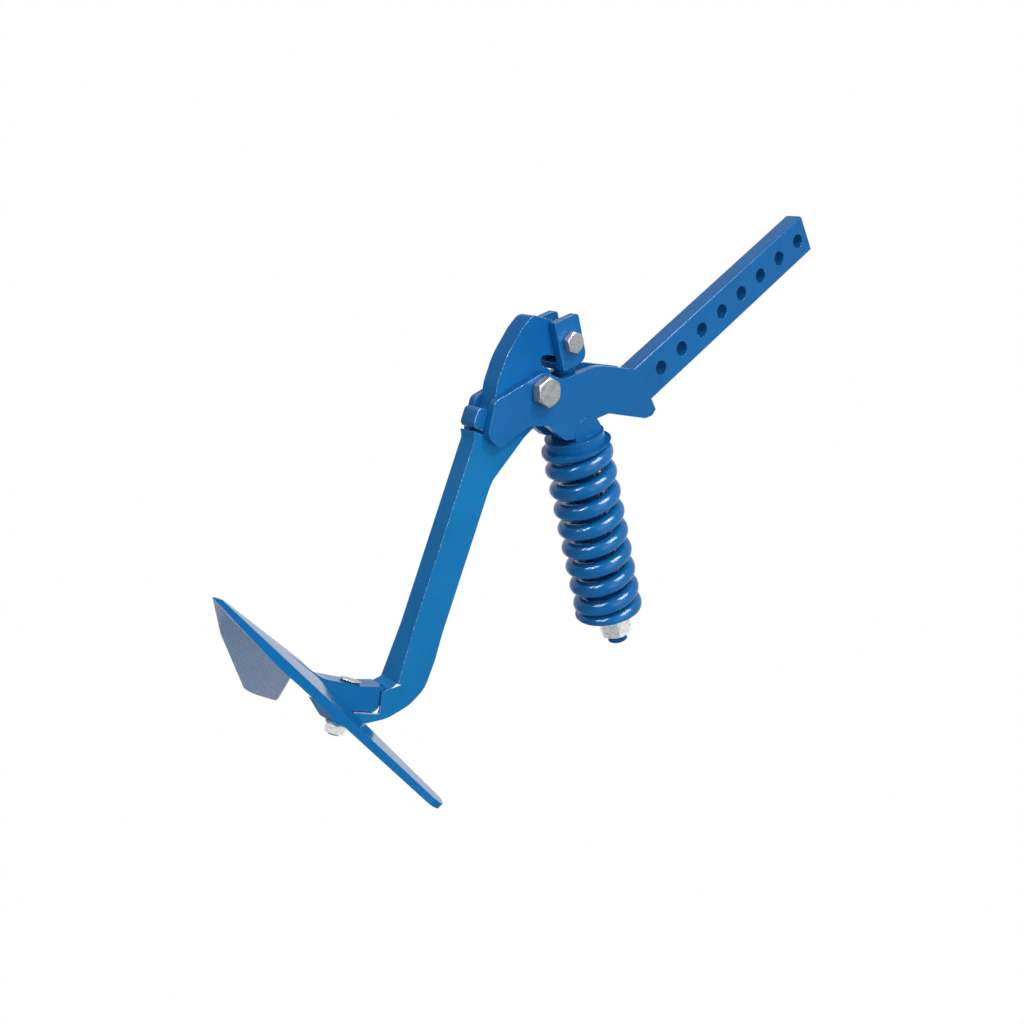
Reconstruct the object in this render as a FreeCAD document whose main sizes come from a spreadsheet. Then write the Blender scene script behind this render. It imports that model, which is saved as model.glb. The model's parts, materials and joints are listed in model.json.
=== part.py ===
"""Cultivator spring tine: drilled bar, cheek head, tripping shank, sweep share and spring-loaded rod.

Frame: +X is the working direction, +Y the side of the bolt heads, +Z up along the mounting bar.
The origin is the middle of the row of mounting holes, in the mid-plane of the tine.
"""
import FreeCAD, Part
import Sketcher
import math
import os

Vector = FreeCAD.Vector
Rotation = FreeCAD.Rotation
Placement = FreeCAD.Placement
X_AXIS = Vector(1, 0, 0)
Y_AXIS = Vector(0, 1, 0)
Z_AXIS = Vector(0, 0, 1)

SIZES = {
    # mounting bar
    "bar_width": 50,
    "bar_thickness": 25,
    "bar_edge_radius": 3,
    "bar_top_margin": 19,
    "bar_tail": 110,
    "bar_tail_rise": 49,
    "hole_diameter": 18,
    "hole_pitch": 40,
    "hole_count": 8,
    # head
    "cheek_thickness": 10,
    "cheek_overlap": 72,
    "pivot_forward": 92,
    "pivot_drop": 312,
    "stop_depth": 20,
    "stop_height": 23,
    "stop_edge_radius": 6,
    "stop_rise": -52.3,
    "stop_gap": 0.1,
    "running_clearance": 0.05,
    "side_clearance": 0.3,
    "bolt_clearance": 0.25,
    # pivot bolt
    "pivot_bolt": 20,
    "pivot_flats": 30,
    "pivot_head": 12.5,
    "pivot_nut": 16,
    "pivot_washer_radius": 18.5,
    "pivot_washer_thickness": 3,
    "pivot_bush_wall": 2.8,
    # anchor bolt
    "anchor_bolt": 14,
    "anchor_flats": 22,
    "anchor_head": 8.8,
    "anchor_nut": 11,
    "anchor_washer_radius": 14,
    "anchor_washer_thickness": 2.5,
    "anchor_bush_wall": 2.75,
    "bolt_tail": 4,
    # shank
    "shank_lean": 36.66,
    "shank_width": 41,
    "leg_length": 357.8,
    "pivot_setback": 62.4,
    "anchor_rise": 62.8,
    "anchor_setback": 16.9,
    "anchor_eye_radius": 18,
    "pivot_eye_radius": 20.2,
    "stop_recess": 12,
    "heel_thickness": 33,
    "heel_flare": 62,
    "foot_depth": 47,
    "foot_length": 84,
    "ledge_depth": 29,
    "tang_thickness": 19,
    # sweep share
    "share_reach": 223.6,
    "share_drop": 100.3,
    "share_edge": 4.6,
    "share_belly": 5.6,
    "share_bevel": 71,
    "keel_bevel": 25,
    "nose_bevel": 9.4,
    "share_length": 231,
    "share_half_width": 190.4,
    "tip_length": 17,
    "tip_width": 32.4,
    "tip_radius": 14,
    "tip_belly": 2.8,
    "saddle_length": 95,
    "saddle_width": 28,
    "saddle_plate": 8,
    "saddle_skirt": 26.7,
    "saddle_dip": 2.4,
    "saddle_fit": 0.2,
    "share_bolt": 14,
    "share_bolt_head": 24,
    "share_bolt_cone": 5,
    "share_bolt_place": 50,
    "share_bolt_tail": 2,
    "share_flats": 21,
    "share_nut": 10,
    "share_washer_radius": 12.5,
    "share_washer_thickness": 2,
    # fork and rod
    "rod_fall": 14.65,
    "fork_length": 56,
    "fork_height": 36,
    "fork_plate_thickness": 10,
    "fork_block_length": 8.5,
    "rod_diameter": 24,
    "rod_offset": -1.2,
    "rod_length": 368.5,
    "rod_chamfer": 2,
    "adjusting_flats": 36,
    "adjusting_nut_length": 36,
    # seat and spring
    "seat_distance": 111.5,
    "ear_radius": 20,
    "ear_clearance": 0.3,
    "seat_offset": 2.5,
    "seat_disc_diameter": 70,
    "seat_disc_thickness": 12,
    "seat_hole_clearance": 1.5,
    "spring_shift": 3.7,
    "spring_diameter": 83.5,
    "spring_wire": 19.5,
    "spring_pitch": 25.9,
    "spring_turns": 7.5,
    "spring_end_gap": 0.1,
    "spring_end_turns": 1.25,
    "spring_run_out": 0.3,
    "spring_start_angle": -51.2,
    "plug_clearance": 0.4,
    "plug_length": 30,
}

document = FreeCAD.newDocument("SpringTine")
sheet = document.addObject("Spreadsheet::Sheet", "Sizes")
for row, (alias, number) in enumerate(SIZES.items(), start=1):
    sheet.set(f"A{row}", alias)
    sheet.set(f"B{row}", str(number))
    sheet.setAlias(f"B{row}", alias)
document.recompute()


def size(alias):
    """A driving dimension, read from the sheet."""
    return float(sheet.get(alias))


def bind(item, **expressions):
    """Bind properties of an object to expressions of the sheet's cells."""
    for name, expression in expressions.items():
        item.setExpression(name, expression)
    return item


# frames of the moving groups ------------------------------------------------------------------

pivot_point = Vector(size("pivot_forward"), 0, -size("pivot_drop"))
shank_turn = Rotation(Y_AXIS, size("shank_lean"))
shank_frame = Placement(pivot_point, shank_turn)
anchor_point = shank_frame.multVec(Vector(-size("anchor_setback"), 0, size("anchor_rise")))
rod_frame = Placement(anchor_point, Rotation(Y_AXIS, 180 - size("rod_fall")))
seat_point = rod_frame.multVec(Vector(size("seat_distance"), 0, 0))
seat_frame = Placement(seat_point, rod_frame.Rotation)
along_rod = Placement(Vector(), Rotation(Y_AXIS, 90))
rod_axis = rod_frame * Placement(Vector(0, 0, size("rod_offset")), Rotation()) * along_rod
spring_axis = rod_frame * Placement(Vector(0, 0, size("spring_shift")), Rotation()) * along_rod
across = Placement(Vector(), Rotation(X_AXIS, -90))
pivot_across = Placement(pivot_point, across.Rotation)
anchor_across = rod_frame * across

CHEEK_OUTER = "(Sizes.bar_thickness / 2 + Sizes.cheek_thickness)"
FORK_OUTER = "(Sizes.bar_thickness / 2 + Sizes.fork_plate_thickness)"


# drawing helpers ------------------------------------------------------------------------------

def outline_curves(corners):
    """Lines and arcs of a closed outline through corners (x, y, radius).

    A radius never takes more than half of the shorter side beside it.
    """
    count = len(corners)
    turns = []
    points = [Vector(x, y, 0) for x, y, radius in corners]
    for index, (x, y, radius) in enumerate(corners):
        here = points[index]
        to_last = points[index - 1] - here
        to_next = points[(index + 1) % count] - here
        half_angle = to_last.getAngle(to_next) / 2
        room = 0.49 * min(to_last.Length, to_next.Length)
        setback = min(radius / math.tan(half_angle), room)
        to_last.normalize()
        to_next.normalize()
        start = here + to_last * setback
        end = here + to_next * setback
        middle_way = (to_last + to_next).normalize()
        bend = setback * math.tan(half_angle)
        middle = here + middle_way * (bend / math.sin(half_angle) - bend)
        turns.append((start, middle, end))
    curves = []
    for index, (start, middle, end) in enumerate(turns):
        if corners[index][2] > 0:
            curves.append(Part.Arc(start, middle, end))
        curves.append(Part.LineSegment(end, turns[(index + 1) % count][0]))
    return curves


def draw_outline(sketch, corners):
    """Closed outline in a sketch."""
    sketch.addGeometry(outline_curves(corners))


def add_body(label, frame=Placement()):
    """A body with its own label, standing in a frame."""
    body = document.addObject("PartDesign::Body", label)
    body.Label = label
    body.Placement = frame
    return body


def add_sketch(body, name, role="XZ_Plane", offset=0):
    """A sketch on one of the body's own planes."""
    sketch = body.newObject("Sketcher::SketchObject", name)
    plane = [item for item in body.Origin.OriginFeatures if item.Role == role][0]
    sketch.AttachmentSupport = (plane, [""])
    sketch.MapMode = "FlatFace"
    sketch.AttachmentOffset = Placement(Vector(0, 0, offset), Rotation())
    return sketch


def add_circle(sketch, x, y, radius):
    """Circle in a sketch, with its radius bound to an expression."""
    index = sketch.GeometryCount
    sketch.addGeometry(Part.Circle(Vector(x, y, 0), Z_AXIS, 1))
    number = sketch.addConstraint(Sketcher.Constraint("Radius", index, 1))
    sketch.setExpression(f"Constraints[{number}]", radius)


def pad_both_ways(body, sketch, length):
    """Pad of a sketch, half of its length on each side of the plane."""
    pad = body.newObject("PartDesign::Pad", sketch.Name + "Pad")
    pad.Profile = sketch
    pad.SideType = "Symmetric"
    return bind(pad, Length=length)


def pocket_through(body, name, circles):
    """Round holes along Y, right through a body: (x, z, radius expression)."""
    sketch = add_sketch(body, name)
    for x, z, radius in circles:
        add_circle(sketch, x, z, radius)
    pocket = body.newObject("PartDesign::Pocket", name + "Cut")
    pocket.Profile = sketch
    pocket.Type = "ThroughAll"
    pocket.SideType = "Symmetric"
    return pocket


def cylinder(name, radius, height, base="0"):
    """Cylinder along Z from base, with its sizes bound."""
    return bind(document.addObject("Part::Cylinder", name),
                **{"Radius": radius, "Height": height, "Placement.Base.z": base})


def hexagon(name, flats, height, base, crown_up):
    """Hexagonal block with its outer corners chamfered at 30 degrees."""
    prism = document.addObject("Part::Prism", name + "Prism")
    bind(prism, **{"Circumradius": f"{flats} / sqrt(3)", "Height": height, "Placement.Base.z": base})
    cone = document.addObject("Part::Cone", name + "Crown")
    face = f"{flats} * 0.475"
    skirt = f"{face} + {height} * sqrt(3)"
    bind(cone, **{"Radius1": skirt if crown_up else face, "Radius2": face if crown_up else skirt,
                  "Height": height, "Placement.Base.z": base})
    block = document.addObject("Part::Common", name)
    block.Base = prism
    block.Tool = cone
    return block


def fused(label, pieces, frame=Placement()):
    """One solid out of several, standing in a frame."""
    union = document.addObject("Part::MultiFuse", label)
    union.Label = label
    union.Shapes = pieces
    union.Placement = frame
    return union


def cut(label, base, tool, frame=Placement()):
    """A piece less a tool, standing in a frame."""
    rest = document.addObject("Part::Cut", label)
    rest.Label = label
    rest.Base = base
    rest.Tool = tool
    rest.Placement = frame
    return rest


def ring(label, outer, inner, height, base, frame):
    """Washer or sleeve."""
    return cut(label, cylinder(label + "Outer", outer, height, base),
               cylinder(label + "Bore", inner, height, base), frame)


def cross_bolt_set(prefix, outer, frame):
    """Hex bolt along Y with its bush, and a washer and nut on the far side."""
    bore = f"(Sizes.{prefix}_bolt / 2 + Sizes.bolt_clearance)"
    radius = f"Sizes.{prefix}_bolt / 2"
    washer = f"Sizes.{prefix}_washer_thickness"
    nut = f"Sizes.{prefix}_nut"
    flats = f"Sizes.{prefix}_flats"
    head = hexagon(prefix + "_bolt_head", flats, f"Sizes.{prefix}_head", outer, True)
    stem_length = f"2 * {outer} + {washer} + {nut} + Sizes.bolt_tail"
    stem = cylinder(prefix + "_bolt_stem", radius, stem_length, f"{outer} - ({stem_length})")
    bolt = fused(prefix + "_bolt", [head, stem], frame)
    bush = ring(prefix + "_bush", f"{bore} + Sizes.{prefix}_bush_wall", bore,
                "Sizes.bar_thickness", "-Sizes.bar_thickness / 2", frame)
    plate = ring(prefix + "_washer", f"Sizes.{prefix}_washer_radius", bore, washer,
                 f"-{outer} - {washer}", frame)
    nut_base = f"-{outer} - {washer} - {nut}"
    block = hexagon(prefix + "_nut_block", flats, nut, nut_base, False)
    hole = cylinder(prefix + "_nut_hole", radius, nut, nut_base)
    return [bolt, bush, plate, cut(prefix + "_nut", block, hole, frame)]


# fixed head -----------------------------------------------------------------------------------

def mounting_bar():
    """Flat bar with a slanted lower end and a row of holes across it."""
    half = size("bar_width") / 2
    top = (size("hole_count") - 1) / 2 * size("hole_pitch") + size("bar_top_margin")
    tail = -(size("hole_count") - 1) / 2 * size("hole_pitch") - size("bar_tail")
    body = add_body("mounting_bar")
    outline = add_sketch(body, "BarOutline")
    draw_outline(outline, [(-half, top, 0), (half, top, 0), (half, tail, 0), (half - 3, tail, 0),
                           (-half, tail + size("bar_tail_rise"), 0)])
    pad = pad_both_ways(body, outline, "Sizes.bar_thickness")
    document.recompute()
    upright = [f"Edge{number}" for number, edge in enumerate(pad.Shape.Edges, start=1)
               if abs(edge.tangentAt(edge.FirstParameter).z) > 0.999]
    edges = body.newObject("PartDesign::Fillet", "BarEdges")
    edges.Base = (pad, upright)
    bind(edges, Radius="Sizes.bar_edge_radius")
    hole = pocket_through(body, "TopHole", [(0, top - size("bar_top_margin"), "Sizes.hole_diameter / 2")])
    row = body.newObject("PartDesign::LinearPattern", "HoleRow")
    row.Originals = [hole]
    plane = [item for item in body.Origin.OriginFeatures if item.Role == "Z_Axis"][0]
    row.Direction = (plane, [""])
    row.Reversed = True
    bind(row, Length="(Sizes.hole_count - 1) * Sizes.hole_pitch", Occurrences="Sizes.hole_count")
    body.Tip = row
    return body


def cheek(label, side):
    """Side plate of the head, with the open notch that the seat's ear rocks in."""
    offset = (size("bar_thickness") + size("cheek_thickness")) / 2
    body = add_body(label, Placement(Vector(0, side * offset, 0), Rotation()))
    first_hole_drop = (size("hole_count") - 1) / 2 * size("hole_pitch")
    rear = -size("bar_width") / 2
    front = size("bar_width") / 2
    top = -first_hole_drop - size("bar_tail") + size("cheek_overlap")
    pivot = pivot_point
    seat = seat_point
    outline = add_sketch(body, label + "_outline")
    draw_outline(outline, [
        (rear - 7, top, 0),
        (front + 1, top - 0.5, 9),
        (front + 43.4, top - 51.4, 60),
        (pivot.x - 5.5, pivot.z + 29.7, 14),
        (pivot.x + 17.2, pivot.z + 12.7, 12),
        (pivot.x + 30, pivot.z - 60, 9),
        (pivot.x + 2, pivot.z - 89, 14),
        (pivot.x - 18, pivot.z - 80, 10),
        (pivot.x - 22, pivot.z - 36, 8),
        (pivot.x - 38.5, pivot.z - 13, 18),
        (seat.x + 15, seat.z - 32.5, 10),
        (seat.x + 7, seat.z - 19.8, 1),
        (seat.x + 7, seat.z + 21, 1),
        (seat.x + 1.6, seat.z + 36.7, 8),
        (rear - 6.6, top - 19.4, 8),
        (rear - 10.5, top - 8, 6)])
    pad_both_ways(body, outline, "Sizes.cheek_thickness")
    pocket_through(body, label + "_bores", [
        (pivot.x, pivot.z, "Sizes.pivot_bolt / 2 + Sizes.bolt_clearance"),
        (seat.x, seat.z, "Sizes.ear_radius + Sizes.ear_clearance")])
    return body


def stop_bar():
    """Square bar across the head, which the front of the shank rests against."""
    rear = size("pivot_setback") - size("stop_recess") + size("stop_gap")
    middle = size("stop_rise")
    half = size("stop_height") / 2
    corner = size("stop_edge_radius")
    body = add_body("stop_bar", shank_frame)
    outline = add_sketch(body, "StopOutline")
    draw_outline(outline, [(rear, middle - half, 1), (rear + size("stop_depth"), middle - half, corner),
                           (rear + size("stop_depth"), middle + half, corner), (rear, middle + half, 1)])
    pad_both_ways(body, outline, "Sizes.bar_thickness")
    return body


# shank ----------------------------------------------------------------------------------------

def shank():
    """Leg, foot, pivot eye and anchor horn in one piece; drawn from the pivot, up along the leg."""
    front = size("pivot_setback")
    rear = front - size("shank_width")
    toe = -size("leg_length")
    eye = size("pivot_eye_radius")
    horn_x = -size("anchor_setback")
    horn_z = size("anchor_rise")
    horn = size("anchor_eye_radius")
    recess = size("stop_recess")
    depth = size("foot_depth")
    ledge = size("ledge_depth")
    roof = toe - size("saddle_plate")
    reach = front + size("foot_length")
    thickness = "(Sizes.bar_thickness - 2 * Sizes.side_clearance)"
    stop_top = size("stop_rise") + size("stop_height") / 2
    shoulder = size("stop_rise") - size("stop_height") / 2 - 3.7
    body = add_body("shank", shank_frame)
    heel = add_sketch(body, "HeelOutline")
    draw_outline(heel, [
        (front, toe + 80, 0), (front, toe + 7, 3), (front + 17, toe - 4.5, 2.5),
        (front + 11.5, toe - ledge + 0.8, 2), (front + 56, toe - ledge - 3.4, 20),
        (reach, toe - ledge, 0), (reach - 22, toe - depth, 4),
        (front + 37, toe - depth, 3), (front + 30, toe - depth + 5, 20), (front, toe - 31.5, 50),
        (rear + 17, toe - 13, 40), (rear + 3.5, toe + 8, 40), (rear, toe + 40, 60),
        (rear, toe + 80, 0)])
    pad_both_ways(body, heel, "Sizes.heel_thickness")
    flare = add_sketch(body, "HeelFlare", "YZ_Plane")
    leg_side = size("bar_thickness") / 2 - size("side_clearance")
    heel_side = size("heel_thickness") / 2
    for side in (1, -1):
        draw_outline(flare, [
            (side * leg_side, toe + 90, 0), (side * leg_side, toe + 8 + size("heel_flare"), 0),
            (side * heel_side, toe + 8, 0), (side * (heel_side + 2), toe + 8, 0),
            (side * (heel_side + 2), toe + 90, 0)])
    sides = body.newObject("PartDesign::Pocket", "HeelSides")
    sides.Profile = flare
    sides.Type = "ThroughAll"
    sides.SideType = "Symmetric"
    leg = add_sketch(body, "LegOutline")
    draw_outline(leg, [
        (front, shoulder - 8, 6), (front + 5.2, shoulder, 1),
        (front - recess, shoulder, 1.5), (front - recess, stop_top + 4, 3),
        (front - 5.8, -12, 30), (front - 5.8, 20, 80), (front - 14.9, horn_z - 6.8, 60),
        (horn_x + 55.4, horn_z + 11.7, 14), (horn_x, horn_z + horn - 0.5, 0),
        (horn_x - 5, horn_z, 0), (horn_x, horn_z - horn + 0.5, 0),
        (front - 52, horn_z - 24.6, 5), (front - 56, eye + 6.8, 3), (-8, eye + 6.8, 8),
        (-eye - 1.8, eye - 6.2, 14), (-eye - 9.4, -12.8, 24), (front - 66, -54.8, 20),
        (rear, -112.8, 40), (rear, toe + 75, 0), (front, toe + 75, 0)])
    pad_both_ways(body, leg, thickness)
    horn_eye = add_sketch(body, "HornEye")
    add_circle(horn_eye, horn_x, horn_z, "Sizes.anchor_eye_radius")
    pad_both_ways(body, horn_eye, thickness)
    tang = add_sketch(body, "TangOutline")
    draw_outline(tang, [(front + 10, roof, 0), (reach - 8, roof, 6), (reach - 2, toe - ledge - 1, 0),
                        (front + 56, toe - ledge - 6, 0), (front + 10, toe - ledge - 6, 0)])
    pad_both_ways(body, tang, "Sizes.tang_thickness")
    pocket_through(body, "PivotEye", [
        (0, 0, "Sizes.pivot_bolt / 2 + Sizes.bolt_clearance + Sizes.pivot_bush_wall"
               " + Sizes.running_clearance")])
    pocket_through(body, "AnchorEye", [
        (horn_x, horn_z, "Sizes.anchor_bolt / 2 + Sizes.bolt_clearance + Sizes.anchor_bush_wall"
                         " + Sizes.running_clearance")])
    bolt_hole = add_sketch(body, "ShareBoltHole", "XY_Plane")
    add_circle(bolt_hole, front + size("share_bolt_place"), 0, "Sizes.share_bolt / 2 + Sizes.bolt_clearance")
    drilled = body.newObject("PartDesign::Pocket", "ShareBoltBore")
    drilled.Profile = bolt_hole
    drilled.Type = "ThroughAll"
    return body


# sweep share ----------------------------------------------------------------------------------

WING_BACK_SLOPE = 0.284
WING_SIDE_SLOPE = 0.258
TOP_BACK_SLOPE = 0.265
TRAILING_SWEEP = 0.79


def upright_plate(corners, thickness):
    """Flat plate of upright depth thickness over the corners of its underside."""
    return Part.Face(Part.makePolygon(corners + [corners[0]])).extrude(Vector(0, 0, thickness))


def upright_slab(corners, near, far):
    """Slab between two values of Y, over an outline of corners (x, z, radius)."""
    face = Part.Face(Part.Wire([curve.toShape() for curve in outline_curves(corners)]))
    face.rotate(Vector(), X_AXIS, 90)
    face.translate(Vector(0, near, 0))
    return face.extrude(Vector(0, far - near, 0))


def on_shank(forward, up):
    """Place beside the shank, forward of and above the inner corner of its foot, as (x, z)."""
    place = shank_frame.multVec(Vector(size("pivot_setback") + forward, 0, up - size("leg_length")))
    return place.x, place.z


def share_nose():
    """Lowest point of the nose, well ahead of the foot."""
    corner_x, corner_z = on_shank(0, 0)
    return Vector(corner_x + size("share_reach"), 0, corner_z - size("share_drop"))


def share_top(x, y):
    """Height of a wing's upper face, which meets its front edge at an even depth."""
    nose = share_nose()
    flatter = WING_BACK_SLOPE - TOP_BACK_SLOPE
    side_slope = WING_SIDE_SLOPE - flatter * size("share_length") / size("share_half_width")
    return nose.z + size("share_edge") + TOP_BACK_SLOPE * (nose.x - x) - side_slope * y


def front_edge(x, y):
    """Point at the foot of a wing's edge faces."""
    nose = share_nose()
    return Vector(x, y, nose.z + WING_BACK_SLOPE * (nose.x - x) - WING_SIDE_SLOPE * y)


def plane_height(first, second, third):
    """Height of the plane through three points, as a function of x and y."""
    normal = (second - first).cross(third - first)
    return lambda x, y: first.z - (normal.x * (x - first.x) + normal.y * (y - first.y)) / normal.z


def wing_block(height, depth):
    """Block of upright depth on a slanted plane, wider than a wing."""
    nose = share_nose()
    margin = 20
    ahead = nose.x + margin
    behind = nose.x - size("share_length") - size("tip_length") - margin
    side = size("share_half_width") + margin
    plan = [(ahead, -margin), (ahead, side), (behind, side), (behind, -margin)]
    return upright_plate([Vector(x, y, height(x, y)) for x, y in plan], depth)


def share_wing():
    """Left wing: upright face in front, deepest near the nose, which is bevelled off below."""
    nose = share_nose()
    tip = front_edge(nose.x - size("share_length"), size("share_half_width"))
    rear = front_edge(tip.x - size("tip_length"), tip.y - size("tip_width"))
    root_x = rear.x + TRAILING_SWEEP * rear.y
    low_tip = tip - Vector(0, 0, size("tip_belly"))
    low = nose + (tip - nose) * (size("share_bevel") / size("share_length"))
    low.z -= size("share_belly")
    bottom = plane_height(low_tip, rear, low)
    keel_x = nose.x - size("keel_bevel")
    keel = Vector(keel_x, 0, bottom(keel_x, 0))
    tall = size("share_length")
    plan = outline_curves([(nose.x, 0, 0), (tip.x, tip.y, size("tip_radius")), (rear.x, rear.y, 6),
                           (root_x, 0, 0)])
    wing = Part.Face(Part.Wire([curve.toShape() for curve in plan])).extrude(Vector(0, 0, tall))
    wing.translate(Vector(0, 0, nose.z - tall / 2))
    wing = wing.common(wing_block(share_top, -tall))
    wing = wing.common(wing_block(plane_height(nose, low, keel), tall))
    return wing.common(wing_block(bottom, tall))


def nose_cut():
    """Wedge taken off the top of the nose."""
    nose = share_nose()
    blunt = 0.4
    run = size("nose_bevel")
    slope = (share_top(nose.x - run, 0) - nose.z - blunt) / run
    line = [(nose.x - ahead, nose.z + blunt + slope * ahead, 0) for ahead in (-2, 3 * run)]
    high = nose.z + 4 * run
    half = size("saddle_width") / 2 + run
    return upright_slab([*line, (nose.x - 3 * run, high, 0), (nose.x + 2, high, 0)], -half, half)


def share_saddle():
    """Inverted channel over the foot, bent into the ridge of the wings."""
    half = size("saddle_width") / 2
    plate = size("saddle_plate")
    skirt = size("saddle_skirt")
    length = size("saddle_length")
    ahead = share_nose().x - length
    flush = share_top(ahead, half)
    dip = size("saddle_dip")
    roof = [(*on_shank(9.5, 2.2), 1), (*on_shank(40, -dip), 70), (*on_shank(length, -dip), 60),
            (ahead, flush, 0), (ahead, flush - 4, 0), (*on_shank(length - 5, -plate), 20),
            (*on_shank(17.6, -plate), 0), (*on_shank(18.4, -4.5), 1)]
    channel = upright_slab(roof, -half, half)
    side = [(*on_shank(18.4, -5), 0), (*on_shank(12.9, -skirt), 7),
            (*on_shank(size("foot_length") - 22, -skirt - 4.4), 12), (*on_shank(length + 4, -plate - 3), 0),
            (*on_shank(length + 2, -plate + 2), 0)]
    inner = size("tang_thickness") / 2 + size("saddle_fit")
    for near, far in ((inner, half), (-half, -inner)):
        channel = channel.fuse(upright_slab(side, near, far))
    return channel


def sweep_share():
    """The share, with a countersunk hole for its bolt."""
    wing = share_wing()
    shape = wing.fuse(wing.mirror(Vector(), Y_AXIS)).cut(nose_cut())
    shape = shape.fuse(share_saddle()).removeSplitter()
    place_x, place_z = on_shank(size("share_bolt_place"), 0)
    slack = size("bolt_clearance")
    cone = size("share_bolt_cone")
    depth = size("foot_depth")
    hole = Part.makeCylinder(size("share_bolt") / 2 + slack, 2 * depth, Vector(0, 0, -depth))
    seat = Part.makeCone(size("share_bolt") / 2 + slack, size("share_bolt_head") / 2 + slack,
                         cone, Vector(0, 0, -cone))
    tool = hole.fuse(seat)
    tool.Placement = Placement(Vector(place_x, 0, place_z), shank_turn)
    item = document.addObject("Part::Feature", "sweep_share")
    item.Label = "sweep_share"
    item.Shape = shape.cut(tool)
    return item


def share_bolt_set():
    """Plough bolt with a countersunk head, and its washer and nut under the foot."""
    place_x, place_z = on_shank(size("share_bolt_place"), 0)
    frame = Placement(Vector(place_x, 0, place_z), shank_turn)
    washer = "Sizes.share_washer_thickness"
    nut = "Sizes.share_nut"
    length = f"Sizes.foot_depth + {washer} + {nut} + Sizes.share_bolt_tail"
    stem = cylinder("share_bolt_stem", "Sizes.share_bolt / 2", length, f"-({length})")
    cone = document.addObject("Part::Cone", "share_bolt_cone")
    bind(cone, **{"Radius1": "Sizes.share_bolt / 2", "Radius2": "Sizes.share_bolt_head / 2",
                  "Height": "Sizes.share_bolt_cone", "Placement.Base.z": "-Sizes.share_bolt_cone"})
    bolt = fused("share_bolt", [stem, cone], frame)
    bore = "(Sizes.share_bolt / 2 + Sizes.bolt_clearance)"
    plate = ring("share_washer", "Sizes.share_washer_radius", bore, washer,
                 f"-Sizes.foot_depth - {washer}", frame)
    nut_base = f"-Sizes.foot_depth - {washer} - {nut}"
    block = hexagon("share_nut_block", "Sizes.share_flats", nut, nut_base, False)
    hole = cylinder("share_nut_hole", "Sizes.share_bolt / 2", nut, nut_base)
    return [bolt, plate, cut("share_nut", block, hole, frame)]


# fork, rod and seat ---------------------------------------------------------------------------

def fork_plate(label, side):
    """Link plate beside the horn; its two upper corners are rounded."""
    offset = (size("bar_thickness") + size("fork_plate_thickness")) / 2
    frame = rod_frame * Placement(Vector(0, side * offset, 0), Rotation())
    body = add_body(label, frame)
    half = size("fork_length") / 2
    tall = size("fork_height") / 2
    outline = add_sketch(body, label + "_outline")
    draw_outline(outline, [(-half, -tall, 5), (half, -tall, 12), (half, tall, 1), (-half, tall, 1)])
    pad_both_ways(body, outline, "Sizes.fork_plate_thickness")
    pocket_through(body, label + "_bore", [(0, 0, "Sizes.anchor_bolt / 2 + Sizes.bolt_clearance")])
    return body


def fork_block():
    """Block welded between the link plates, which the rod is welded to."""
    block = document.addObject("Part::Box", "fork_block")
    block.Label = "fork_block"
    bind(block, Length="Sizes.fork_block_length", Width="Sizes.bar_thickness",
         Height="Sizes.fork_height")
    corner = Vector(size("fork_length") / 2 - size("fork_block_length"), -size("bar_thickness") / 2,
                    -size("fork_height") / 2)
    block.Placement = rod_frame * Placement(corner, Rotation())
    return block


def tension_rod():
    """Round rod with a chamfered end."""
    rod = cylinder("tension_rod_stem", "Sizes.rod_diameter / 2", "Sizes.rod_length - Sizes.rod_chamfer",
                   "Sizes.fork_length / 2")
    end = document.addObject("Part::Cone", "tension_rod_end")
    bind(end, **{"Radius1": "Sizes.rod_diameter / 2", "Radius2": "Sizes.rod_diameter / 2 - Sizes.rod_chamfer",
                 "Height": "Sizes.rod_chamfer",
                 "Placement.Base.z": "Sizes.fork_length / 2 + Sizes.rod_length - Sizes.rod_chamfer"})
    return fused("tension_rod", [rod, end], rod_axis)


SPRING_START = "(Sizes.seat_distance + Sizes.seat_offset + Sizes.seat_disc_thickness)"
SPRING_END_PITCH = "(Sizes.spring_wire + Sizes.spring_end_gap)"
SPRING_LEAD = "(Sizes.spring_wire / 2 + Sizes.spring_run_out)"
SPRING_LENGTH = (f"(Sizes.spring_turns * Sizes.spring_pitch"
                 f" + 2 * Sizes.spring_end_turns * {SPRING_END_PITCH} - 2 * {SPRING_LEAD})")
SPRING_INSIDE = "(Sizes.spring_diameter / 2 - Sizes.spring_wire)"
COIL_RADIUS = "((Sizes.spring_diameter - Sizes.spring_wire) / 2)"


def spring_plug():
    """Plug screwed into the last coils, which the adjusting nut bears on; the rod runs off its centre."""
    base = f"{SPRING_START} + {SPRING_LENGTH} - Sizes.plug_length"
    plug = cylinder("spring_plug_body", f"{SPRING_INSIDE} - Sizes.plug_clearance", "Sizes.plug_length", base)
    bore = cylinder("spring_plug_bore", "Sizes.rod_diameter / 2 + Sizes.bolt_clearance",
                    "Sizes.plug_length", base)
    bind(bore, **{"Placement.Base.x": "Sizes.spring_shift - Sizes.rod_offset"})
    return cut("spring_plug", plug, bore, spring_axis)


def adjusting_nut():
    """Long nut that sets the spring's load."""
    base = f"{SPRING_START} + {SPRING_LENGTH}"
    block = hexagon("adjusting_nut_block", "Sizes.adjusting_flats", "Sizes.adjusting_nut_length", base, True)
    hole = cylinder("adjusting_nut_hole", "Sizes.rod_diameter / 2", "Sizes.adjusting_nut_length", base)
    return cut("adjusting_nut", block, hole, rod_axis)


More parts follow.
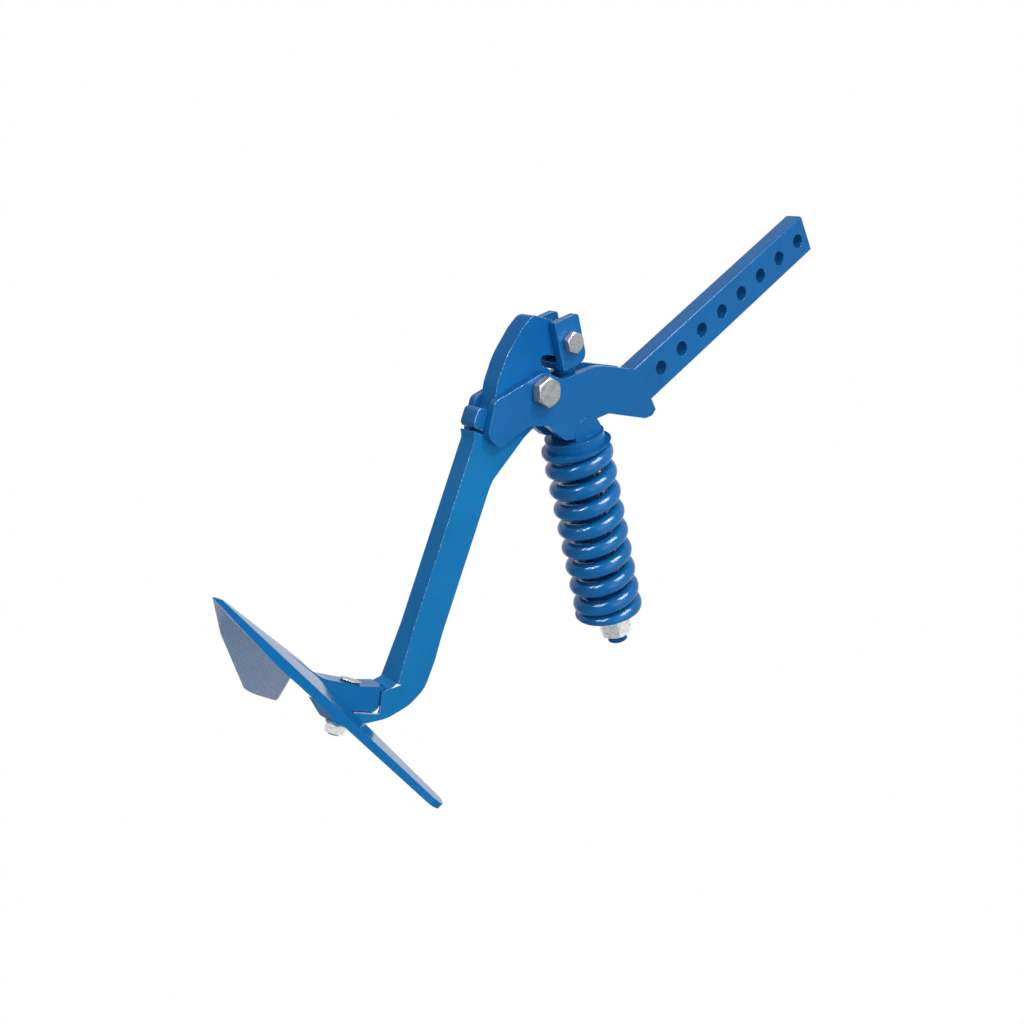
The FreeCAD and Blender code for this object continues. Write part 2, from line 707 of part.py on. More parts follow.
def spring_seat():
    """Disc under the spring, with two round-headed ears that rock in the cheeks."""
    body = add_body("spring_seat", seat_frame)
    disc = add_sketch(body, "SeatDisc", "YZ_Plane", size("seat_offset"))
    add_circle(disc, 0, size("spring_shift"), "Sizes.seat_disc_diameter / 2")
    plate = body.newObject("PartDesign::Pad", "SeatDiscPad")
    plate.Profile = disc
    bind(plate, Length="Sizes.seat_disc_thickness")
    ear = size("ear_radius")
    ears = add_sketch(body, "SeatEars")
    ears.addGeometry([
        Part.ArcOfCircle(Part.Circle(Vector(), Z_AXIS, ear), math.pi / 2, 3 * math.pi / 2),
        Part.LineSegment(Vector(0, -ear, 0), Vector(size("seat_offset") + 1, -ear, 0)),
        Part.LineSegment(Vector(size("seat_offset") + 1, -ear, 0), Vector(size("seat_offset") + 1, ear, 0)),
        Part.LineSegment(Vector(size("seat_offset") + 1, ear, 0), Vector(0, ear, 0))])
    pad_both_ways(body, ears, "Sizes.bar_thickness + 2 * Sizes.cheek_thickness")
    gap = add_sketch(body, "SeatGap")
    reach = ear + 2
    draw_outline(gap, [(-reach, -reach, 0), (size("seat_offset"), -reach, 0),
                       (size("seat_offset"), reach, 0), (-reach, reach, 0)])
    between = body.newObject("PartDesign::Pocket", "SeatGapCut")
    between.Profile = gap
    between.SideType = "Symmetric"
    bind(between, Length="Sizes.bar_thickness + 4 * Sizes.side_clearance")
    hole = add_sketch(body, "SeatHole", "YZ_Plane")
    add_circle(hole, 0, size("rod_offset"), "Sizes.rod_diameter / 2 + Sizes.seat_hole_clearance")
    bore = body.newObject("PartDesign::Pocket", "SeatBore")
    bore.Profile = hole
    bore.Type = "ThroughAll"
    bore.SideType = "Symmetric"
    return body


def coil(name, pitch, turns, turns_before, base):
    """Round wire swept along a helix that starts some turns after the spring's first end."""
    angle = size("spring_start_angle") + 360 * turns_before
    radius = COIL_RADIUS
    helix = document.addObject("Part::Helix", name + "_helix")
    helix.Placement = Placement(Vector(), Rotation(Z_AXIS, angle))
    bind(helix, **{"Radius": radius, "Pitch": pitch, "Height": f"{pitch} * {turns}",
                   "Placement.Base.z": base})
    wire = document.addObject("Part::Circle", name + "_wire")
    wire.Placement = Placement(Vector(), Rotation(Z_AXIS, angle) * Rotation(X_AXIS, 90))
    bind(wire, **{"Radius": "Sizes.spring_wire / 2", "Placement.Base.z": base,
                  "Placement.Base.x": f"{radius} * {math.cos(math.radians(angle)):.9f}",
                  "Placement.Base.y": f"{radius} * {math.sin(math.radians(angle)):.9f}"})
    sweep = document.addObject("Part::Sweep", name)
    sweep.Sections = [wire]
    sweep.Spine = (helix, [])
    sweep.Solid = True
    sweep.Frenet = True
    return sweep


def spring():
    """Right-hand compression spring, its end turns closed and ground flat."""
    lead = f"{SPRING_START} - {SPRING_LEAD}"
    end_turns = size("spring_end_turns")
    end_rise = f"Sizes.spring_end_turns * {SPRING_END_PITCH}"
    rise = "Sizes.spring_turns * Sizes.spring_pitch"
    first = coil("spring_first", SPRING_END_PITCH, "Sizes.spring_end_turns", 0, lead)
    middle = coil("spring_middle", "Sizes.spring_pitch", "Sizes.spring_turns", end_turns,
                  f"{lead} + {end_rise}")
    last = coil("spring_last", SPRING_END_PITCH, "Sizes.spring_end_turns", end_turns + size("spring_turns"),
                f"{lead} + {end_rise} + {rise}")
    wire = document.addObject("Part::MultiFuse", "spring_wire_whole")
    wire.Shapes = [first, middle, last]
    room = cylinder("spring_room", "Sizes.spring_diameter", SPRING_LENGTH, SPRING_START)
    ground = document.addObject("Part::Common", "spring")
    ground.Label = "spring"
    ground.Base = wire
    ground.Tool = room
    ground.Placement = spring_axis
    return ground


PARTS = [mounting_bar(), cheek("left_cheek", 1), cheek("right_cheek", -1), stop_bar(), shank()]
PARTS += cross_bolt_set("pivot", CHEEK_OUTER, pivot_across)
PARTS += cross_bolt_set("anchor", FORK_OUTER, anchor_across)
PARTS += [sweep_share()]
PARTS += share_bolt_set()
PARTS += [fork_plate("left_fork_plate", 1), fork_plate("right_fork_plate", -1), fork_block(), tension_rod()]
PARTS += [spring_plug(), adjusting_nut(), spring_seat(), spring()]
document.recompute()

os.makedirs("parts", exist_ok=True)
for part in PARTS:
    if "Invalid" in part.State or "Error" in part.State:
        raise RuntimeError(f"{part.Label} did not recompute")
    if part.Shape.isNull() or not part.Shape.isValid():
        raise RuntimeError(f"{part.Label} has no valid shape")
    part.Shape.exportStep(f"parts/{part.Label}.step")
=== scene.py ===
"""Looks of the cultivator spring tine: blue enamel over forged, pressed and sawn steel, zinc-plated bolts.

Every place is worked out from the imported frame, in metres, in the frame of the CAD model.
"""
import bpy
import bmesh
import json
import math
from mathutils import Euler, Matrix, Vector


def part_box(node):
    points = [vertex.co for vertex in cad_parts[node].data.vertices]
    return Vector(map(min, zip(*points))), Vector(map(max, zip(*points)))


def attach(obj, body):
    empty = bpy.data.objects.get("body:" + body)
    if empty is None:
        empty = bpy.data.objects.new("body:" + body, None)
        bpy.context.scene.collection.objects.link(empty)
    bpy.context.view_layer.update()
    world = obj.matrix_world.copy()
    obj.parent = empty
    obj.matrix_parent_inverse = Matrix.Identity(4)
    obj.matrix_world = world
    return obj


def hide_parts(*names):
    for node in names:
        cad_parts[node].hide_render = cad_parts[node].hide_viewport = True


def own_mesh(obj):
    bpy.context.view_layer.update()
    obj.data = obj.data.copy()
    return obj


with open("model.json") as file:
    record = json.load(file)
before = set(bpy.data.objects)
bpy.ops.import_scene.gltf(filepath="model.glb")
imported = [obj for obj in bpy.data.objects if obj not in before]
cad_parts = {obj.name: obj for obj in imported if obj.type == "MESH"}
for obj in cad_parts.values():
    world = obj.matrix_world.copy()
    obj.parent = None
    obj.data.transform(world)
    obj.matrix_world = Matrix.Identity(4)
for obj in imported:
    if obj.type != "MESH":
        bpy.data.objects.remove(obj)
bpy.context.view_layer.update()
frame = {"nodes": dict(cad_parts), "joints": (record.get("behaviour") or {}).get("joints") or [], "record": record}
JOINTS = {joint["name"]: joint for joint in frame["joints"]}
PIVOT = Vector(JOINTS["shank_pivot"]["pos_m"])
ANCHOR = Vector(JOINTS["rod_pivot"]["pos_m"])
SLOT_OF = {part["node"]: part["material_slot"] for part in frame["record"]["subparts"]}
BODY_OF = {node: body for body, members in frame["record"]["behaviour"]["bodies"].items()
           for node in members}


# materials ------------------------------------------------------------------------------------

BLUE = (0.004, 0.14, 0.415)
DRIFT_SCALE = 16.0
DRIFT_LEVELS = (0.92, 1.08)
GRAIN_SCALE = 900.0
GRAIN_LEVEL = 0.72
# painted highlights: white glints laid into the enamel's colour where a fine noise runs high
GLINT_SCALE = 850.0
PAINTED_GLINT_COLOUR = (0.75, 0.88, 0.95)
GLOSS_SCALE = 60.0
MOTTLE_SCALE = 420.0
MOTTLE_DEPTH = 0.0003


def material(name):
    """New node material: (material, nodes, links, shader)."""
    made = bpy.data.materials.new(name)
    made.use_nodes = True
    nodes = made.node_tree.nodes
    return made, nodes, made.node_tree.links, nodes["Principled BSDF"]


def scaled(colour, level):
    """Colour with each channel times a level."""
    return tuple(channel * level for channel in colour)


def grey(level):
    """Colour with one level in all its channels, which also carries a plain number."""
    return (level, level, level)


def noise_field(nodes, links, scale, detail=2.0):
    """Noise over the object's own coordinates, in metres."""
    where = nodes.new("ShaderNodeTexCoord")
    field = nodes.new("ShaderNodeTexNoise")
    field.inputs["Scale"].default_value = scale
    field.inputs["Detail"].default_value = detail
    links.new(where.outputs["Object"], field.inputs["Vector"])
    return field.outputs["Fac"]


def ramp(nodes, links, value, stops):
    """Colour ramp of (position, colour) stops."""
    node = nodes.new("ShaderNodeValToRGB")
    elements = node.color_ramp.elements
    while len(elements) < len(stops):
        elements.new(0.5)
    for element, (position, colour) in zip(elements, stops):
        element.position = position
        element.color = (*colour, 1)
    links.new(value, node.inputs["Fac"])
    return node.outputs["Color"]


def mixed(nodes, links, share, first, second):
    """Blend of two colours by a share from 0 to 1."""
    mix = nodes.new("ShaderNodeMix")
    mix.data_type = "RGBA"
    links.new(share, mix.inputs["Factor"])
    for socket, colour in (("A", first), ("B", second)):
        target = next(item for item in mix.inputs if item.name == socket and item.type == "RGBA")
        if isinstance(colour, tuple):
            target.default_value = (*colour, 1)
        else:
            links.new(colour, target)
    return next(item for item in mix.outputs if item.type == "RGBA")


def add_bump(nodes, links, shader, heights):
    """Chain of bumps of (field, depth in metres)."""
    last = None
    for field, depth in heights:
        bump = nodes.new("ShaderNodeBump")
        bump.inputs["Distance"].default_value = depth
        bump.inputs["Strength"].default_value = 1.0
        links.new(field, bump.inputs["Height"])
        if last:
            links.new(last, bump.inputs["Normal"])
        last = bump.outputs["Normal"]
    links.new(last, shader.inputs["Normal"])


def height_share(nodes, links, low, high):
    """Share from 0 at one height to 1 at another, along the object's own Z."""
    where = nodes.new("ShaderNodeTexCoord")
    split = nodes.new("ShaderNodeSeparateXYZ")
    links.new(where.outputs["Object"], split.inputs[0])
    spread = nodes.new("ShaderNodeMapRange")
    spread.inputs["From Min"].default_value = low
    spread.inputs["From Max"].default_value = high
    links.new(split.outputs["Z"], spread.inputs["Value"])
    return spread.outputs["Result"]


def enamel(name, colour, roughness, specular, peel, grain=0.0, upper=None, glint=None):
    """Blue enamel with a slight drift of tone and an orange peel of (noise scale, depth) bumps.

    grain is the strength of its dark specks, upper its tone above the pivot, and glint the level of
    noise above which white glints are painted into its colour, a painted highlight.
    """
    made, nodes, links, shader = material(name)
    tones = []
    for level in DRIFT_LEVELS:
        tone = scaled(colour, level)
        if upper:
            share = height_share(nodes, links, PIVOT.z - 0.1, PIVOT.z + 0.02)
            tone = mixed(nodes, links, share, tone, scaled(upper, level))
        tones.append(tone)
    drift = ramp(nodes, links, noise_field(nodes, links, DRIFT_SCALE), [(0.3, grey(0)), (0.7, grey(1))])
    tone = mixed(nodes, links, drift, *tones)
    if grain:
        specks = ramp(nodes, links, noise_field(nodes, links, GRAIN_SCALE, 3.0),
                      [(0.44, grey(grain)), (0.7, grey(0))])
        tone = mixed(nodes, links, specks, tone, scaled(colour, GRAIN_LEVEL))
    # painted highlight: white glints mixed into the base colour
    if glint:
        spots = ramp(nodes, links, noise_field(nodes, links, GLINT_SCALE, 1.0),
                     [(glint - 0.04, grey(0)), (glint, grey(1))])
        tone = mixed(nodes, links, spots, tone, PAINTED_GLINT_COLOUR)
    links.new(tone, shader.inputs["Base Color"])
    gloss = ramp(nodes, links, noise_field(nodes, links, GLOSS_SCALE),
                 [(0.35, grey(roughness * 0.85)), (0.65, grey(roughness * 1.15))])
    links.new(gloss, shader.inputs["Roughness"])
    shader.inputs["Specular IOR Level"].default_value = specular
    add_bump(nodes, links, shader, [(noise_field(nodes, links, scale, 3.0), depth) for scale, depth in peel])
    return made


def painted_highlight_enamel(name, colour, specular, glint):
    """Glossy enamel of a rounded edge, with white glints painted into its colour as highlights."""
    return enamel(name, colour, roughness=0.2, specular=specular, peel=[(700.0, 0.0002)], glint=glint)


def plated(name, colour, roughness, contrast, metallic=0.8):
    """Zinc plating: grey metal with a mottled, slightly rough skin."""
    made, nodes, links, shader = material(name)
    mottle = noise_field(nodes, links, MOTTLE_SCALE, 4.0)
    tone = ramp(nodes, links, mottle,
                [(0.38, scaled(colour, 1 - contrast)), (0.52, colour), (0.7, scaled(colour, 1.15))])
    links.new(tone, shader.inputs["Base Color"])
    shader.inputs["Metallic"].default_value = metallic
    gloss = ramp(nodes, links, mottle, [(0.3, grey(roughness * 1.3)), (0.7, grey(roughness * 0.8))])
    links.new(gloss, shader.inputs["Roughness"])
    add_bump(nodes, links, shader, [(mottle, MOTTLE_DEPTH)])
    return made


MATERIALS = {
    "frame_paint": enamel("FramePaint", BLUE, roughness=0.28, specular=0.14, grain=0.25,
                          peel=[(700.0, 0.00002), (45.0, 0.0002)]),
    "shank_paint": enamel("ShankPaint", (0.009, 0.207, 0.52), roughness=0.4, specular=0.06, grain=0.4,
                          peel=[(420.0, 0.0003), (45.0, 0.0004)], upper=(0.001, 0.118, 0.43)),
    "share_paint": enamel("SharePaint", (0.004, 0.15, 0.43), roughness=0.12, specular=0.06, grain=0.15,
                          peel=[(300.0, 0.00002)]),
    "spring_paint": enamel("SpringPaint", (0.004, 0.155, 0.45), roughness=0.15, specular=0.2, grain=0.15,
                           peel=[(120.0, 0.00001)]),
    "zinc": plated("Zinc", (0.33, 0.335, 0.35), roughness=0.34, contrast=0.35),
    "bare_steel": plated("BareSteel", (0.3, 0.3, 0.3), roughness=0.35, contrast=0.3),
}
# painted highlights: edge copies of the enamels, a little lighter than the faces, with white glints painted in
PAINTED_EDGE_HIGHLIGHTS = {
    "frame_paint": painted_highlight_enamel("FramePaintedEdgeHighlight", (0.006, 0.16, 0.46), specular=0.5, glint=0.7),
    "shank_paint": painted_highlight_enamel("ShankPaintedEdgeHighlight", (0.01, 0.21, 0.52), specular=0.3, glint=0.58),
    "share_paint": painted_highlight_enamel("SharePaintedEdgeHighlight", (0.006, 0.17, 0.46), specular=0.2, glint=0.7),
}
# painted highlight: pale metal for the bright ledge and crease facet at the heel
LEDGE_HIGHLIGHT_METAL = plated("PaintedLedgeHighlight", (0.9, 0.9, 0.9), roughness=0.5, contrast=0.1, metallic=0.3)
# paler zinc: the long nut's tone, and painted light on the share nut, which faces down
PALE_ZINC_AND_PAINTED_LIGHT = plated("PaleZincAndPaintedLight", (0.9, 0.91, 0.92), roughness=0.3, contrast=0.3, metallic=0.5)


# pieces ---------------------------------------------------------------------------------------

def add_object(name, mesh):
    """Link a mesh into the scene as an object."""
    piece = bpy.data.objects.new(name, mesh)
    bpy.context.scene.collection.objects.link(piece)
    return piece


def add_piece(node, mesh):
    """Piece that stands for a CAD node, made of a bmesh, with the material of its slot and on its body."""
    data = bpy.data.meshes.new(node + "_piece")
    mesh.to_mesh(data)
    mesh.free()
    data.materials.append(MATERIALS[SLOT_OF[node]])
    piece = add_object(node + "_piece", data)
    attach(piece, BODY_OF[node])
    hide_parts(node)
    return piece


def shade(mesh, crease):
    """Smooth faces, with edges kept sharp above an angle in degrees."""
    mesh.shade_smooth()
    mesh.set_sharp_from_angle(angle=math.radians(crease))


def apply_modifiers(piece):
    """Bake a piece's modifiers into its mesh."""
    graph = bpy.context.evaluated_depsgraph_get()
    mesh = bpy.data.meshes.new_from_object(piece.evaluated_get(graph))
    piece.modifiers.clear()
    piece.data = mesh


# slot of the enamel with painted highlights
PAINTED_HIGHLIGHT_SLOT = 1
EDGE_RADII = {
    "mounting_bar": 0.0007, "left_cheek": 0.0012, "right_cheek": 0.0012, "stop_bar": 0.001,
    "left_fork_plate": 0.0012, "right_fork_plate": 0.0012, "fork_block": 0.001, "spring_seat": 0.002,
    "shank": 0.0015, "sweep_share": 0.0006,
}
FLATNESS = math.radians(0.6)
SHARP_EDGE = math.radians(32)
UNDERSIDE = -0.7


def add_softened(node, radius):
    """The form of a CAD node with its sharp edges rounded, and enamel with painted highlights on them."""
    mesh = bmesh.new()
    mesh.from_mesh(frame["nodes"][node].data)
    bmesh.ops.remove_doubles(mesh, verts=mesh.verts, dist=1e-6)
    bmesh.ops.dissolve_limit(mesh, angle_limit=FLATNESS, verts=mesh.verts, edges=mesh.edges)
    piece = add_piece(node, mesh)
    piece.data.materials.append(PAINTED_EDGE_HIGHLIGHTS[SLOT_OF[node]])
    bevel = piece.modifiers.new("Edges", "BEVEL")
    bevel.width = radius
    bevel.segments = 3
    bevel.limit_method = "ANGLE"
    bevel.angle_limit = SHARP_EDGE
    bevel.material = PAINTED_HIGHLIGHT_SLOT
    apply_modifiers(piece)
    shade(piece.data, crease=30)
    level = piece.modifiers.new("FlatFaces", "WEIGHTED_NORMAL")
    level.keep_sharp = True
    apply_modifiers(piece)
    return piece


def paint_highlights_underneath(share):
    """Enamel with painted highlights, a little lighter and with white glints, on the faces of the share that look
    down.
    """
    for face in share.data.polygons:
        if face.normal.z < UNDERSIDE:
            face.material_index = PAINTED_HIGHLIGHT_SLOT


def add_skinned(node, bodies, crease):
    """Piece of one or more closed bodies, each skinned over rings of points with a cap at both ends."""
    mesh = bmesh.new()
    for rings in bodies:
        rows = [[mesh.verts.new(point) for point in ring] for ring in rings]
        count = len(rows[0])
        for low, high in zip(rows, rows[1:]):
            for i in range(count):
                k = (i + 1) % count
                mesh.faces.new((low[i], low[k], high[k], high[i]))
        mesh.faces.new(list(reversed(rows[0])))
        mesh.faces.new(rows[-1])
    bmesh.ops.recalc_face_normals(mesh, faces=mesh.faces)
    piece = add_piece(node, mesh)
    shade(piece.data, crease)
    return piece


# spring ---------------------------------------------------------------------------------------

FALL = math.radians(14.65)
ALONG_ROD = Vector((-math.cos(FALL), 0, -math.sin(FALL)))
ACROSS_ROD = Vector((math.sin(FALL), 0, -math.cos(FALL)))
SPRING_CENTRE = ANCHOR + ACROSS_ROD * 0.0037
SPRING_START = 0.126
WIRE = 0.0195
COIL = (0.0835 - WIRE) / 2
PITCH = 0.0259
TURNS = 7.5
END_PITCH = WIRE + 0.0001
END_TURNS = 1.25
LEAD = WIRE / 2 + 0.0003
START_ANGLE = math.radians(-51.2)
SPRING_LENGTH = TURNS * PITCH + 2 * END_TURNS * END_PITCH - 2 * LEAD
SPRING_END = SPRING_START + SPRING_LENGTH
STEPS_A_TURN = 56
STEPS_AROUND = 24


def on_spring(reach, radius, angle):
    """Point about the spring's axis, at a reach along the rod from its hinge."""
    return (SPRING_CENTRE + ALONG_ROD * reach - ACROSS_ROD * (radius * math.cos(angle))
            + Vector((0, radius * math.sin(angle), 0)))


def spring_rise(turn):
    """How far along the rod the wire's centre has come after some turns."""
    turn -= END_TURNS
    middle = min(max(turn, 0), TURNS)
    return END_PITCH * (END_TURNS + turn - middle) + PITCH * middle


def add_spring():
    """Coiled round wire with its end turns closed and ground flat."""
    rings = []
    for i in range(int((2 * END_TURNS + TURNS) * STEPS_A_TURN) + 1):
        turn = i / STEPS_A_TURN
        centre = SPRING_START - LEAD + spring_rise(turn)
        ring = []
        for k in range(STEPS_AROUND):
            lap = math.tau * k / STEPS_AROUND
            reach = min(max(centre + WIRE / 2 * math.sin(lap), SPRING_START), SPRING_END)
            ring.append(on_spring(reach, COIL + WIRE / 2 * math.cos(lap), START_ANGLE + math.tau * turn))
        rings.append(ring)
    piece = add_skinned("spring", [rings], crease=40)
    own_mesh(piece)


# threads, nuts and bolt heads -------------------------------------------------------------------

STEPS_A_LAP = 72
CHAMFER_SLOPE = math.tan(math.radians(30))
CHAMFER_FACE = 0.955
WASHER_FACE = 0.95
WASHER_FACE_HEIGHT = 0.0006
STEM_CHAMFER = 0.001
THREAD_DEPTH = 0.54
# shares of the pitch along one groove, and of the depth there
THREAD_FORM = ((0.0, 0), (0.15, 0), (0.5, 1), (0.6, 1), (0.95, 0))


def hex_radius(lap, flats):
    """Distance from the axis to the side of a hexagon, with a corner at angle zero."""
    return flats / 2 / math.cos(lap % (math.pi / 3) - math.pi / 6)


def hexagon_profile(start, end, flats):
    """Hexagonal prism with its corners turned off by a flat cone at both ends."""
    face = flats / 2 * CHAMFER_FACE

    def drop(lap):
        return (hex_radius(lap, flats) - face) * CHAMFER_SLOPE

    return [(start, face),
            lambda lap: (start + drop(lap), hex_radius(lap, flats)),
            lambda lap: (end - drop(lap), hex_radius(lap, flats)),
            (end, face)]


def thread_profile(end, length, radius, pitch):
    """V grooves over a length of rod, listed from its end inwards."""
    depth = pitch * THREAD_DEPTH
    profile = []
    for i in range(int(length / pitch)):
        profile += [(end - (i + share) * pitch, radius - deep * depth) for share, deep in THREAD_FORM]
    return profile


def turned(profile, centre, along, corner):
    """Rings about an axis; a profile entry is (reach, radius) or a function of the angle giving both."""
    side = along.cross(corner)
    rings = []
    for entry in profile:
        ring = []
        for k in range(STEPS_A_LAP):
            lap = math.tau * k / STEPS_A_LAP
            reach, radius = entry(lap) if callable(entry) else entry
            ring.append(centre + along * reach + (corner * math.cos(lap) + side * math.sin(lap)) * radius)
        rings.append(ring)
    return rings


def add_turned(node, profiles, centre, along, corner):
    """Piece of one or more turned or hexagonal bodies on one axis."""
    return add_skinned(node, [turned(profile, centre, along, corner) for profile in profiles], crease=22)


def span(node, origin, direction):
    """Least and greatest reach of a CAD node along a direction from a point."""
    reaches = [(vertex.co - origin).dot(direction) for vertex in frame["nodes"][node].data.vertices]
    return min(reaches), max(reaches)


def add_hex_bolt(node, centre, head, flats, radius, corner):
    """Hex bolt along Y, with a chamfered head on the left over a round face, and a plain stem."""
    along = Vector((0, 1, 0))
    low, high = span(node, centre, along)
    neck = high - head
    face = flats / 2 * WASHER_FACE
    stem = [(low, radius - STEM_CHAMFER), (low + STEM_CHAMFER, radius), (neck, radius)]
    washer_face = [(neck, face), (neck + WASHER_FACE_HEIGHT, face)]
    hexagon = hexagon_profile(neck + WASHER_FACE_HEIGHT, high, flats)
    add_turned(node, [stem, washer_face, hexagon], centre, along, corner)


# rod and adjusting nut ------------------------------------------------------------------------

ROD_CENTRE = ANCHOR - ACROSS_ROD * 0.0012
ROD_RADIUS = 0.012
ROD_TIP_RADIUS = 0.0098
ROD_TIP = 0.0015
ROD_THREAD = 0.0985
ROD_PITCH = 0.003
THREAD_RUN_OUT = 0.002
ADJUSTING_NUT_FLATS = 0.036


def add_rod():
    """Rod with a chamfered end, threaded where the adjusting nut runs."""
    low, high = span("tension_rod", ROD_CENTRE, ALONG_ROD)
    thread = thread_profile(high - ROD_TIP, ROD_THREAD, ROD_RADIUS, ROD_PITCH)
    plain = [(low, ROD_RADIUS), (thread[-1][0] - THREAD_RUN_OUT, ROD_RADIUS)]
    profile = plain + thread[::-1] + [(high, ROD_TIP_RADIUS)]
    add_turned("tension_rod", [profile], ROD_CENTRE, ALONG_ROD, ACROSS_ROD)


def add_adjusting_nut():
    """Long hex nut at the end of the spring, in brighter zinc."""
    low, high = span("adjusting_nut", ROD_CENTRE, ALONG_ROD)
    nut = add_turned("adjusting_nut", [hexagon_profile(low, high, ADJUSTING_NUT_FLATS)], ROD_CENTRE,
                     ALONG_ROD, ACROSS_ROD)
    nut.data.materials[0] = PALE_ZINC_AND_PAINTED_LIGHT


# foot of the shank ----------------------------------------------------------------------------

LEAN = math.radians(36.66)
SHANK_FORWARD = Vector((math.cos(LEAN), 0, -math.sin(LEAN)))
SHANK_UP = Vector((math.sin(LEAN), 0, math.cos(LEAN)))
FOOT = PIVOT + SHANK_FORWARD * 0.0624 - SHANK_UP * 0.3578
SHARE_NUT_FLATS = 0.021
SHARE_BOLT_RADIUS = 0.007
SHARE_BOLT_CHAMFER = 0.001
# (depth below the top, radius) of the head's cone and dome
SHARE_BOLT_HEAD = ((0.0006, 0.0118), (0.0002, 0.0116), (0, 0.0105))
HEEL_SIDE = 0.01385
LEDGE_SIDE = 0.0163
CREASE_SIDE = 0.0167


def add_share_bolt_set():
    """Plough bolt with a low domed head, and its hex nut in the paler zinc, painted light on a nut that faces
    down.
    """
    middle = sum((Vector(corner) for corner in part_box("share_nut")), Vector()) / 2
    low, high = span("share_nut", middle, SHANK_UP)
    nut = add_turned("share_nut", [hexagon_profile(low, high, SHARE_NUT_FLATS)], middle, SHANK_UP,
                     SHANK_FORWARD)
    nut.data.materials[0] = PALE_ZINC_AND_PAINTED_LIGHT
    low, high = span("share_bolt", middle, SHANK_UP)
    profile = [(low, SHARE_BOLT_RADIUS - SHARE_BOLT_CHAMFER), (low + SHARE_BOLT_CHAMFER, SHARE_BOLT_RADIUS),
               (high - 0.005, SHARE_BOLT_RADIUS)]
    profile += [(high - depth, radius) for depth, radius in SHARE_BOLT_HEAD]
    add_turned("share_bolt", [profile], middle, SHANK_UP, SHANK_FORWARD)


def at_foot(forward, up, side):
    """Point forward of, above and to the left of the corner between leg and foot."""
    return FOOT + SHANK_FORWARD * forward + SHANK_UP * up + Vector((0, side, 0))


def ledge_height(forward):
    """Height just above the heel's ledge, which slopes down to the front."""
    return -0.028 - 0.0944 * (forward - 0.0115)


def add_painted_ledge_highlight():
    """Painted highlight round the heel: pale metal behind the share's skirt, on the ledge below it and in the
    crease.
    """
    heel = [at_foot(forward, up, HEEL_SIDE) for forward, up in (
        (0.0124, -0.0135), (0.0127, -0.0276), (0.0205, -0.0282), (0.0168, -0.0262), (0.0143, -0.0225))]
    ledge = [at_foot(forward, ledge_height(forward), side) for forward, side in (
        (0.0125, HEEL_SIDE), (0.0125, LEDGE_SIDE), (0.044, LEDGE_SIDE), (0.044, HEEL_SIDE))]
    crease = [at_foot(forward, up, CREASE_SIDE) for forward, up in (
        (0.0064, 0.0018), (0.0041, 0.0052), (0.0027, 0.0076), (-0.004, 0.007))]
    points = []
    faces = []
    for outline in (heel, ledge, crease):
        faces.append(range(len(points), len(points) + len(outline)))
        points += outline
    mesh = bpy.data.meshes.new("painted_ledge_highlight")
    mesh.from_pydata(points, [], faces)
    mesh.materials.append(LEDGE_HIGHLIGHT_METAL)
    piece = add_object("painted_ledge_highlight", mesh)
    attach(piece, BODY_OF["shank"])


# the tine -------------------------------------------------------------------------------------

softened = {node: add_softened(node, radius) for node, radius in EDGE_RADII.items()}
add_spring()
add_hex_bolt("pivot_bolt", PIVOT, head=0.0125, flats=0.03, radius=0.01, corner=Vector((0, 0, 1)))
add_hex_bolt("anchor_bolt", ANCHOR, head=0.0088, flats=0.022, radius=0.007, corner=ALONG_ROD)
add_share_bolt_set()
add_rod()
add_adjusting_nut()
paint_highlights_underneath(softened["sweep_share"])
add_painted_ledge_highlight()

for node, piece in frame["nodes"].items():
    if not piece.hide_render:
        piece.data.materials.clear()
        piece.data.materials.append(MATERIALS[SLOT_OF[node]])


# stage ----------------------------------------------------------------------------------------

CAMERA_PLACE = Vector((0.7744, 1.1068, -1.0005))
CAMERA_TURN = Euler([math.radians(turn) for turn in (122.838, -42.095, 121.110)])
LAMP_TARGET = Vector((-0.05, 0, -0.38))
LAMP_DISTANCE = 2.0
FLOOR_HEIGHT = -2.6
FLOOR_REACH = 6
WORLD_STRENGTH = 0.37


def add_camera():
    """Camera below the share, looking up at the tine from its front left."""
    data = bpy.data.cameras.new("Camera")
    data.sensor_width = 36
    data.lens = 46.22
    data.clip_end = 50
    camera = bpy.data.objects.new("Camera", data)
    camera.location = CAMERA_PLACE
    camera.rotation_euler = CAMERA_TURN
    bpy.context.scene.collection.objects.link(camera)
    bpy.context.scene.camera = camera


def add_lamp(name, direction, size, power, lights_paint=True):
    """Square soft lamp aimed at the tine; its direction is to the camera's right, up and back.

    One that doesn't light the paint only shows as a shine on glossy faces.
    """
    data = bpy.data.lights.new(name, "AREA")
    data.shape = "SQUARE"
    data.size = size
    data.energy = power
    lamp = bpy.data.objects.new(name, data)
    lamp.location = LAMP_TARGET + (CAMERA_TURN.to_matrix() @ Vector(direction)).normalized() * LAMP_DISTANCE
    lamp.rotation_euler = (LAMP_TARGET - lamp.location).to_track_quat("-Z", "Y").to_euler()
    lamp.visible_diffuse = lights_paint
    bpy.context.scene.collection.objects.link(lamp)


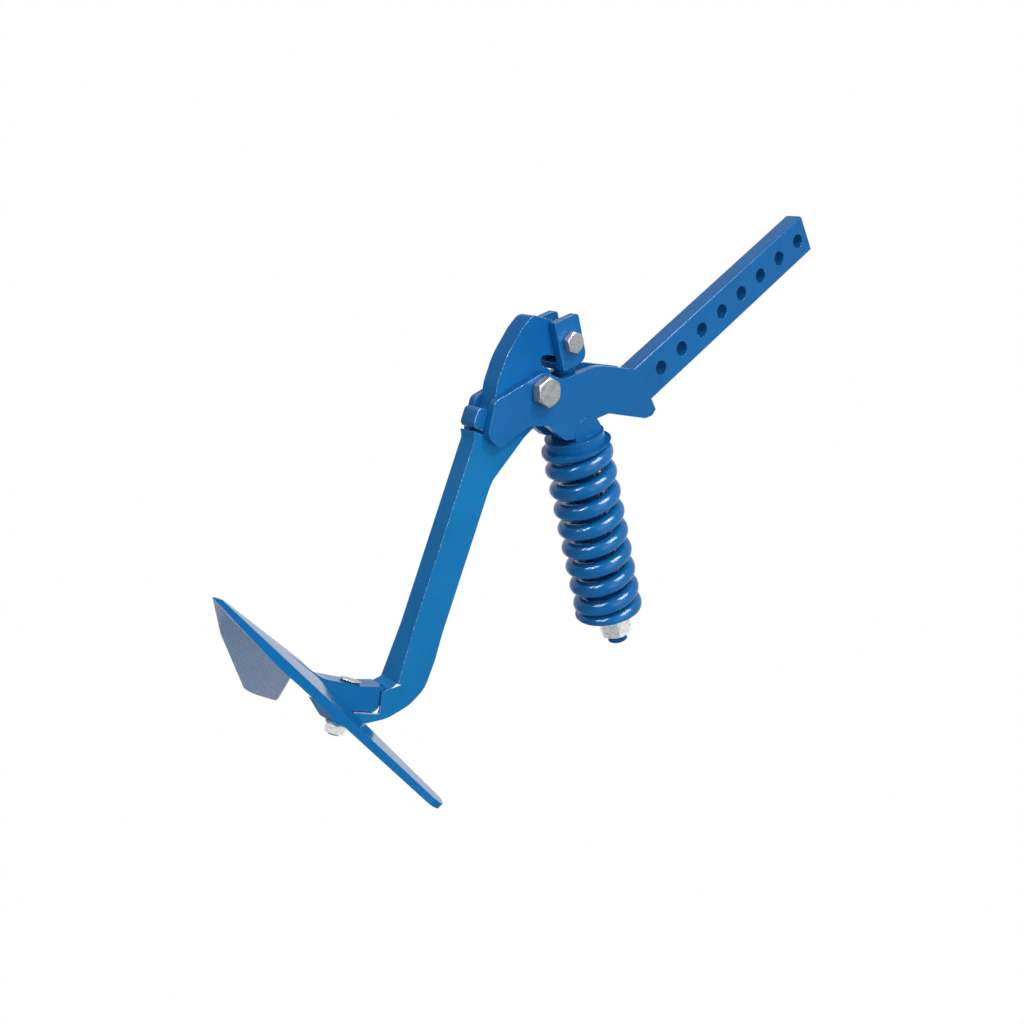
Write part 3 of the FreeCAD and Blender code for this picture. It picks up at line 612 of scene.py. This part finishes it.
def add_floor():
    """Plain pale floor, well below the tine, which hangs from its bar."""
    mesh = bpy.data.meshes.new("Floor")
    corners = [(x * FLOOR_REACH, y * FLOOR_REACH, FLOOR_HEIGHT)
               for x, y in ((-1, -1), (1, -1), (1, 1), (-1, 1))]
    mesh.from_pydata(corners, [], [(0, 1, 2, 3)])
    floor = add_object("Floor", mesh)
    made, nodes, links, shader = material("FloorPaint")
    tone = ramp(nodes, links, noise_field(nodes, links, 2.0), [(0.0, grey(0.86)), (1.0, grey(0.9))])
    links.new(tone, shader.inputs["Base Color"])
    shader.inputs["Roughness"].default_value = 0.9
    mesh.materials.append(made)


def add_world():
    """Even pale world; the camera and reflections see it as plain white."""
    world = bpy.data.worlds.new("Studio")
    bpy.context.scene.world = world
    world.use_nodes = True
    nodes = world.node_tree.nodes
    links = world.node_tree.links
    plain = nodes["Background"]
    plain.inputs["Color"].default_value = (1, 1, 1, 1)
    plain.inputs["Strength"].default_value = WORLD_STRENGTH
    white = nodes.new("ShaderNodeBackground")
    white.inputs["Color"].default_value = (1, 1, 1, 1)
    white.inputs["Strength"].default_value = 1.0
    path = nodes.new("ShaderNodeLightPath")
    mix = nodes.new("ShaderNodeMixShader")
    seen = path.outputs["Is Camera Ray"]
    for ray in ("Is Glossy Ray", "Is Transmission Ray"):
        either = nodes.new("ShaderNodeMath")
        either.operation = "MAXIMUM"
        links.new(seen, either.inputs[0])
        links.new(path.outputs[ray], either.inputs[1])
        seen = either.outputs[0]
    links.new(seen, mix.inputs[0])
    links.new(plain.outputs[0], mix.inputs[1])
    links.new(white.outputs[0], mix.inputs[2])
    links.new(mix.outputs[0], nodes["World Output"].inputs["Surface"])


add_camera()
add_floor()
add_world()
add_lamp("Key", (0.45, 0.68, 0.6), size=0.3, power=14)
add_lamp("Fill", (-0.6, 0.52, 0.58), size=0.17, power=4)
add_lamp("RightShine", (0.45, 0.68, 0.6), size=1.05, power=110, lights_paint=False)
add_lamp("LeftShine", (-0.6, 0.52, 0.58), size=1.0, power=120, lights_paint=False)
add_lamp("Side", (0.55, -0.05, 0.85), size=1.7, power=17)
bpy.context.scene.view_settings.view_transform = "Standard"
